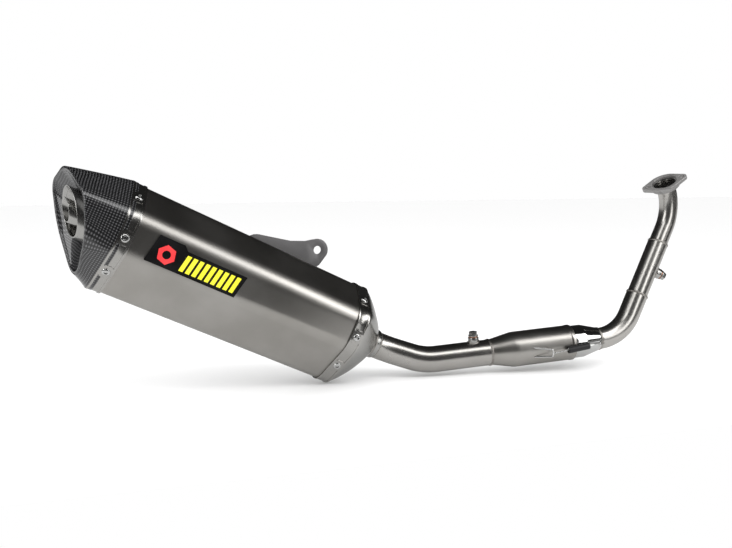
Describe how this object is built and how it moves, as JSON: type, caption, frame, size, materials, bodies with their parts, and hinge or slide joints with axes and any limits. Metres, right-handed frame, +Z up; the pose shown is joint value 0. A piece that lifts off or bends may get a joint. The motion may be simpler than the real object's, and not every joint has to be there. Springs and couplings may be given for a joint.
{
  "type": "racing exhaust system",
  "caption": "Full racing exhaust system: two-bolt header, sprung slip joint, link pipe and six-sided muffler with a slanted carbon outlet cap and hanger bracket.",
  "frame": {"origin": "centre of the exhaust port's face, where the header flange meets the cylinder head", "axes": "+X to the front of the vehicle, +Y to its left, +Z up; the muffler lies on the vehicle's right"},
  "size_m": [0.8626, 0.1483, 0.2827],
  "materials": {
    "titanium": "satin, finely brushed",
    "polished_steel": "mirror polished",
    "satin_steel": "satin",
    "weld_metal": "rippled weld bead",
    "dark_steel": "dark machined steel",
    "copper": "soft copper",
    "carbon_fibre": "glossy clear-coated weave",
    "silicone": "matt",
    "glass_wool": "fibrous",
    "badge_black": "satin black with red and yellow print"
  },
  "bodies": {
    "header": {"header_collar": "satin_steel", "header_lower_tube": "titanium", "header_lower_weld": "weld_metal", "header_mid_tube": "titanium", "header_sensor_boss": "satin_steel", "header_sensor_plug": "satin_steel", "header_sensor_washer": "copper", "header_spring_hook_far": "satin_steel", "header_spring_hook_near": "satin_steel", "header_upper_tube": "titanium", "header_upper_weld": "weld_metal", "collector_cone": "polished_steel", "collector_can": "polished_steel", "spring_near": "polished_steel", "spring_far": "polished_steel", "spring_cover_near": "silicone", "spring_cover_far": "silicone"},
    "flange": {"header_flange": "dark_steel"},
    "muffler": {"badge_plate": "badge_black", "hanger_bracket": "dark_steel", "inlet_band": "polished_steel", "inlet_cap": "satin_steel", "inlet_rivet_1": "polished_steel", "inlet_rivet_2": "polished_steel", "inlet_rivet_3": "polished_steel", "inlet_rivet_4": "polished_steel", "inlet_rivet_5": "polished_steel", "inlet_rivet_6": "polished_steel", "link_pipe": "titanium", "link_sensor_boss": "satin_steel", "link_sensor_plug": "satin_steel", "link_sensor_washer": "copper", "neck_ring": "weld_metal", "outer_sleeve": "titanium", "outlet_band": "polished_steel", "outlet_cap": "carbon_fibre", "outlet_rivet_1": "polished_steel", "outlet_rivet_2": "polished_steel", "outlet_rivet_3": "polished_steel", "outlet_rivet_4": "polished_steel", "outlet_rivet_5": "polished_steel", "outlet_rivet_6": "polished_steel", "outlet_tube": "polished_steel", "packing": "glass_wool", "perforated_core": "satin_steel", "sleeve_spring_hook_far": "satin_steel", "sleeve_spring_hook_near": "satin_steel", "sleeve_weld": "weld_metal", "slip_sleeve": "satin_steel"},
    "damper": {"damper_insert": "satin_steel"}
  },
  "joints": [
    {"name": "flange_spin", "type": "hinge", "parent": "header", "child": "flange", "pos_m": [0, 0, 0], "axis": [-0.4822, -0.1891, 0.8554], "continuous": true},
    {"name": "slip_slide", "type": "slide", "parent": "header", "child": "muffler", "axis": [-0.9931, 0.0915, -0.0729], "range_m": [0, 0.025], "stiffness_N_per_m": 4000, "springref_m": -0.012, "deforming": ["spring_near", "spring_far", "spring_cover_near", "spring_cover_far"]},
    {"name": "damper_slide", "type": "slide", "parent": "muffler", "child": "damper", "axis": [-0.8927, -0.1223, 0.4337], "range_m": [0, 0.08]}
  ]
}
